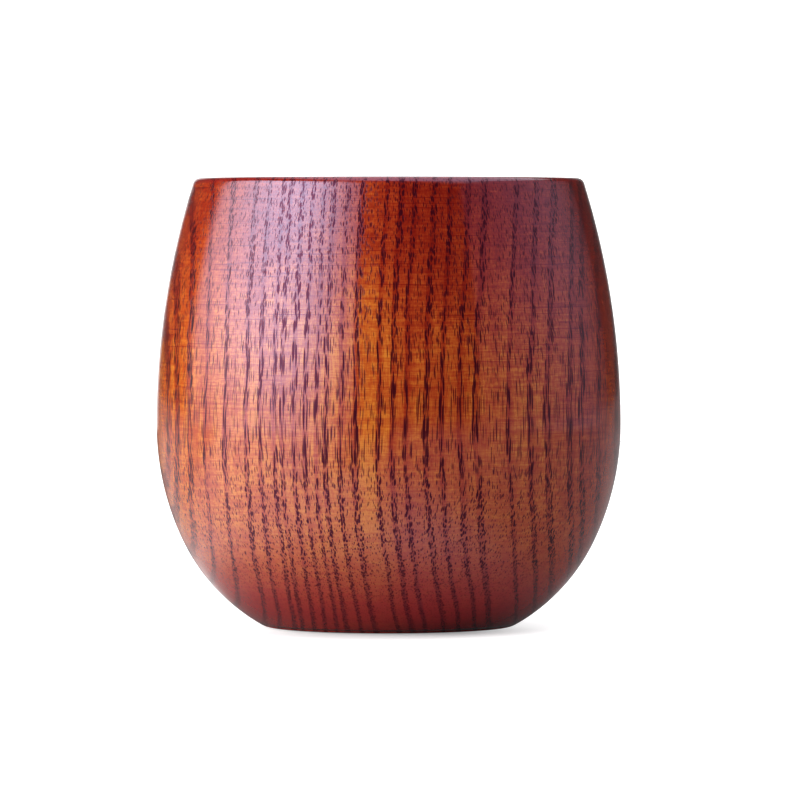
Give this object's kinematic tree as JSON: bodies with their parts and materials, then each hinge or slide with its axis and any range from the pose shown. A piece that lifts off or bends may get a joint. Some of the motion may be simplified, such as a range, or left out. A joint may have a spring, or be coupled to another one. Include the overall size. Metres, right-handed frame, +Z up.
{
  "type": "wooden cup",
  "caption": "Handleless turned wooden cup with a full belly, an inward-leaning mouth, a rounded lip and a small flat foot, lacquered inside and out, for drinks held in the hand.",
  "frame": {"origin": "centre of the foot, on the surface that the cup stands on", "axes": "+Z up along the axis of turning, out of the mouth; +X and +Y at will, as the cup is round; the picture looks along +Y"},
  "size_m": [0.085, 0.085, 0.082],
  "materials": {
    "hardwood": "turned and sanded, open pores",
    "outer_lacquer": "clear gloss lacquer, warm tint",
    "inner_lacquer": "clear food-safe gloss lacquer"
  },
  "bodies": {
    "root": {"turned_body": "hardwood", "outer_lacquer": "outer_lacquer", "inner_lacquer": "inner_lacquer"}
  },
  "joints": []
}
